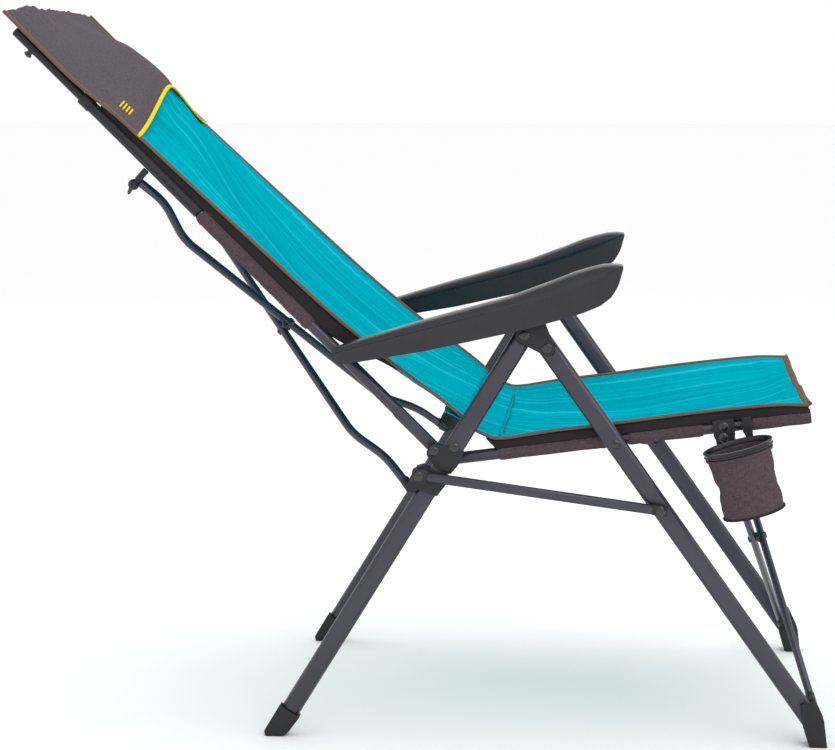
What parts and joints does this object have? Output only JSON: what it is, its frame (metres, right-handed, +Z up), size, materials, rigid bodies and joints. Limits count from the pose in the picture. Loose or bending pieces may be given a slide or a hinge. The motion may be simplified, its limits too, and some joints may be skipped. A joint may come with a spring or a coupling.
{
  "type": "folding camp chair",
  "caption": "High-back reclining folding camp chair on four straight legs: steel tube frame with crossed braces, teal sling seat and back, plastic armrests, headrest and cup holder",
  "frame": {"origin": "on the ground under the middle of the bounding box", "axes": "+Z up, the chair faces -Y, the sitter's right is -X"},
  "size_m": [0.7195, 1.2447, 1.091],
  "materials": {
    "frame_paint": "dark grey powder-coated steel tube",
    "armrest_plastic": "satin black moulded plastic",
    "joint_plastic": "matt black moulded joints and feet",
    "rivet_steel": "glossy black rivets",
    "teal_mesh": "teal polyester mesh",
    "brown_fabric": "grey-brown melange polyester"
  },
  "bodies": {
    "right_front_leg_frame": {"right_front_leg": "frame_paint", "right_front_hinge_rivet": "rivet_steel", "right_rail_rivet": "rivet_steel", "right_link_rivet": "rivet_steel"},
    "right_bracket": {"right_armrest_bracket": "joint_plastic", "right_rear_hinge_rivet": "rivet_steel"},
    "right_armrest": {"right_armrest": "armrest_plastic"},
    "right_rear_leg": {"right_rear_leg": "frame_paint", "right_rear_foot": "joint_plastic"},
    "right_upper_slider": {"right_upper_slider": "joint_plastic", "right_recline_cap": "rivet_steel"},
    "right_stop_plate": {"right_stop_plate": "frame_paint"},
    "right_back": {"right_back_tube": "frame_paint", "right_back_extension": "joint_plastic", "right_brace_arm": "joint_plastic", "back_fabric": "teal_mesh", "headrest": "brown_fabric"},
    "right_rail": {"right_seat_rail": "frame_paint", "right_rail_bracket": "joint_plastic", "seat_fabric": "teal_mesh", "cup_ring": "armrest_plastic", "cup_pouch": "brown_fabric", "cup_bracket": "joint_plastic"},
    "right_lower_slider": {"right_lower_slider": "joint_plastic"},
    "right_link": {"right_side_link": "frame_paint"},
    "right_front_foot": {"right_front_foot": "joint_plastic"},
    "right_brace_socket": {"right_brace_socket": "joint_plastic"},
    "right_rear_brace": {"right_rear_brace": "frame_paint", "rear_brace_rivet": "rivet_steel"},
    "right_front_brace": {"right_front_brace": "frame_paint", "front_brace_rivet": "rivet_steel"},
    "left_front_leg_frame": {"left_front_leg": "frame_paint", "left_front_hinge_rivet": "rivet_steel", "left_rail_rivet": "rivet_steel", "left_link_rivet": "rivet_steel"},
    "left_bracket": {"left_armrest_bracket": "joint_plastic", "left_rear_hinge_rivet": "rivet_steel"},
    "left_armrest": {"left_armrest": "armrest_plastic"},
    "left_rear_leg": {"left_rear_leg": "frame_paint", "left_rear_foot": "joint_plastic"},
    "left_upper_slider": {"left_upper_slider": "joint_plastic", "left_recline_cap": "rivet_steel"},
    "left_stop_plate": {"left_stop_plate": "frame_paint"},
    "left_back": {"left_back_tube": "frame_paint", "left_back_extension": "joint_plastic", "left_brace_arm": "joint_plastic"},
    "left_rail": {"left_seat_rail": "frame_paint", "left_rail_bracket": "joint_plastic"},
    "left_lower_slider": {"left_lower_slider": "joint_plastic"},
    "left_link": {"left_side_link": "frame_paint"},
    "left_front_foot": {"left_front_foot": "joint_plastic"},
    "left_brace_socket": {"left_brace_socket": "joint_plastic"},
    "left_rear_brace": {"left_rear_brace": "frame_paint"},
    "left_front_brace": {"left_front_brace": "frame_paint"}
  },
  "joints": [
    {"name": "fold", "type": "hinge", "parent": "right_bracket", "child": "right_front_leg_frame", "pos_m": [-0.2608, -0.1981, 0.6017], "axis": [1, 0, 0], "range_deg": [0, 96], "deforming": ["seat_fabric", "back_fabric", "headrest"]},
    {"name": "right_rear_leg_fold", "type": "hinge", "parent": "right_rear_leg", "child": "right_bracket", "pos_m": [-0.2608, -0.1638, 0.6209], "axis": [1, 0, 0], "range_deg": [-34.05, 0]},
    {"name": "right_upper_slide", "type": "slide", "parent": "right_rear_leg", "child": "right_upper_slider", "axis": [0, 0.5222, -0.8528], "range_m": [0, 0.178]},
    {"name": "right_lower_slide", "type": "slide", "parent": "right_rear_leg", "child": "right_lower_slider", "axis": [0, 0.5222, -0.8528], "range_m": [0, 0.3647]},
    {"name": "right_rail_fold", "type": "hinge", "parent": "right_upper_slider", "child": "right_rail", "pos_m": [-0.2608, -0.04552, 0.42774], "axis": [-1, 0, 0], "range_deg": [0, 41.34]},
    {"name": "right_link_fold", "type": "hinge", "parent": "right_front_leg_frame", "child": "right_link", "pos_m": [-0.2608, -0.36857, 0.36094], "axis": [-1, 0, 0], "range_deg": [0, 115.58]},
    {"name": "right_back_fold", "type": "hinge", "parent": "right_upper_slider", "child": "right_stop_plate", "pos_m": [-0.2608, -0.0289, 0.44483], "axis": [-1, 0, 0], "range_deg": [-46.73, 0]},
    {"name": "recline", "type": "hinge", "parent": "right_stop_plate", "child": "right_back", "pos_m": [-0.2608, -0.0289, 0.44483], "axis": [1, 0, 0], "range_deg": [0, 30]},
    {"name": "right_armrest_tilt", "type": "hinge", "parent": "right_bracket", "child": "right_armrest", "pos_m": [-0.2608, -0.1638, 0.6209], "axis": [1, 0, 0], "range_deg": [0, 11.32]},
    {"name": "right_brace_socket_fold", "type": "hinge", "parent": "right_back", "child": "right_brace_socket", "pos_m": [-0.2608, 0.4275, 0.83887], "axis": [-1, 0, 0], "range_deg": [-3.85, 0]},
    {"name": "right_rear_brace_fold", "type": "hinge", "parent": "right_brace_socket", "child": "right_rear_brace", "pos_m": [-0.2268, 0.4275, 0.83887], "axis": [0, 0.7298, -0.6836], "range_deg": [0, 29.06]},
    {"name": "left_bracket_fold", "type": "hinge", "parent": "left_front_leg_frame", "child": "left_bracket", "pos_m": [0.3252, -0.1981, 0.6017], "axis": [-1, 0, 0], "range_deg": [0, 96.05]},
    {"name": "left_rear_leg_fold", "type": "hinge", "parent": "left_bracket", "child": "left_rear_leg", "pos_m": [0.3252, -0.1638, 0.6209], "axis": [-1, 0, 0], "range_deg": [-34.05, 0]},
    {"name": "left_upper_slide", "type": "slide", "parent": "left_rear_leg", "child": "left_upper_slider", "axis": [0, 0.5222, -0.8528], "range_m": [0, 0.178]},
    {"name": "left_lower_slide", "type": "slide", "parent": "left_rear_leg", "child": "left_lower_slider", "axis": [0, 0.5222, -0.8528], "range_m": [0, 0.3647]},
    {"name": "left_rail_fold", "type": "hinge", "parent": "left_upper_slider", "child": "left_rail", "pos_m": [0.3252, -0.04552, 0.42774], "axis": [-1, 0, 0], "range_deg": [0, 41.34]},
    {"name": "left_link_fold", "type": "hinge", "parent": "left_front_leg_frame", "child": "left_link", "pos_m": [0.3252, -0.36857, 0.36094], "axis": [-1, 0, 0], "range_deg": [0, 115.58]},
    {"name": "left_back_fold", "type": "hinge", "parent": "left_upper_slider", "child": "left_stop_plate", "pos_m": [0.3252, -0.0289, 0.44483], "axis": [-1, 0, 0], "range_deg": [-46.73, 0]},
    {"name": "left_recline", "type": "hinge", "parent": "left_stop_plate", "child": "left_back", "pos_m": [0.3252, -0.0289, 0.44483], "axis": [1, 0, 0], "range_deg": [0, 30.05]},
    {"name": "left_armrest_tilt", "type": "hinge", "parent": "left_bracket", "child": "left_armrest", "pos_m": [0.3252, -0.1638, 0.6209], "axis": [1, 0, 0], "range_deg": [0, 11.32]},
    {"name": "left_brace_socket_fold", "type": "hinge", "parent": "left_back", "child": "left_brace_socket", "pos_m": [0.3252, 0.4275, 0.83887], "axis": [-1, 0, 0], "range_deg": [-3.85, 0]},
    {"name": "left_rear_brace_fold", "type": "hinge", "parent": "left_brace_socket", "child": "left_rear_brace", "pos_m": [0.2912, 0.4275, 0.83887], "axis": [0, 0.7298, -0.6836], "range_deg": [-29.06, 0]},
    {"name": "right_foot_fold", "type": "hinge", "parent": "right_front_leg_frame", "child": "right_front_foot", "pos_m": [-0.2608, -0.6036, 0.029], "axis": [-1, 0, 0], "range_deg": [0, 12.52]},
    {"name": "right_front_brace_fold", "type": "hinge", "parent": "right_front_foot", "child": "right_front_brace", "pos_m": [-0.2268, -0.59497, 0.05564], "axis": [0, 0.9514, -0.3081], "range_deg": [-37.33, 0]},
    {"name": "front_brace_cross", "type": "hinge", "parent": "right_front_brace", "child": "left_front_brace", "pos_m": [0.0322, -0.52924, 0.25862], "axis": [0, 0.9514, -0.3081], "range_deg": [0, 74.61]},
    {"name": "left_front_brace_fold", "type": "hinge", "parent": "left_front_brace", "child": "left_front_foot", "pos_m": [0.2912, -0.59497, 0.05564], "axis": [0, 0.9514, -0.3081], "range_deg": [-37.33, 0]},
    {"name": "left_foot_fold", "type": "hinge", "parent": "left_front_foot", "child": "left_front_leg_frame", "pos_m": [0.3252, -0.6036, 0.029], "axis": [-1, 0, 0], "range_deg": [-12.52, 0]}
  ],
  "couplings": [
    {"joint": "right_rear_leg_fold", "follows": "fold", "ratio": -0.35417},
    {"joint": "right_upper_slide", "follows": "fold", "m_per_rad": 0.10594},
    {"joint": "right_lower_slide", "follows": "fold", "m_per_rad": 0.21739},
    {"joint": "right_rail_fold", "follows": "fold", "ratio": 0.43006},
    {"joint": "right_link_fold", "follows": "fold", "ratio": 1.2035},
    {"joint": "right_back_fold", "follows": "fold", "ratio": -0.48626},
    {"joint": "right_armrest_tilt", "follows": "recline", "ratio": 0.37583},
    {"joint": "right_brace_socket_fold", "follows": "fold", "ratio": -0.039599},
    {"joint": "right_rear_brace_fold", "follows": "fold", "ratio": 0.3022},
    {"joint": "left_bracket_fold", "follows": "fold", "ratio": 1},
    {"joint": "left_rear_leg_fold", "follows": "fold", "ratio": -0.35417},
    {"joint": "left_upper_slide", "follows": "fold", "m_per_rad": 0.10594},
    {"joint": "left_lower_slide", "follows": "fold", "m_per_rad": 0.21739},
    {"joint": "left_rail_fold", "follows": "fold", "ratio": 0.43006},
    {"joint": "left_link_fold", "follows": "fold", "ratio": 1.2035},
    {"joint": "left_back_fold", "follows": "fold", "ratio": -0.48626},
    {"joint": "left_recline", "follows": "recline", "ratio": 1},
    {"joint": "left_armrest_tilt", "follows": "recline", "ratio": 0.37583},
    {"joint": "left_brace_socket_fold", "follows": "fold", "ratio": -0.039599},
    {"joint": "left_rear_brace_fold", "follows": "fold", "ratio": -0.3022},
    {"joint": "right_foot_fold", "follows": "fold", "ratio": 0.12985},
    {"joint": "right_front_brace_fold", "follows": "fold", "ratio": -0.38832},
    {"joint": "front_brace_cross", "follows": "fold", "ratio": 0.77665},
    {"joint": "left_front_brace_fold", "follows": "fold", "ratio": -0.38832},
    {"joint": "left_foot_fold", "follows": "fold", "ratio": -0.12985}
  ]
}
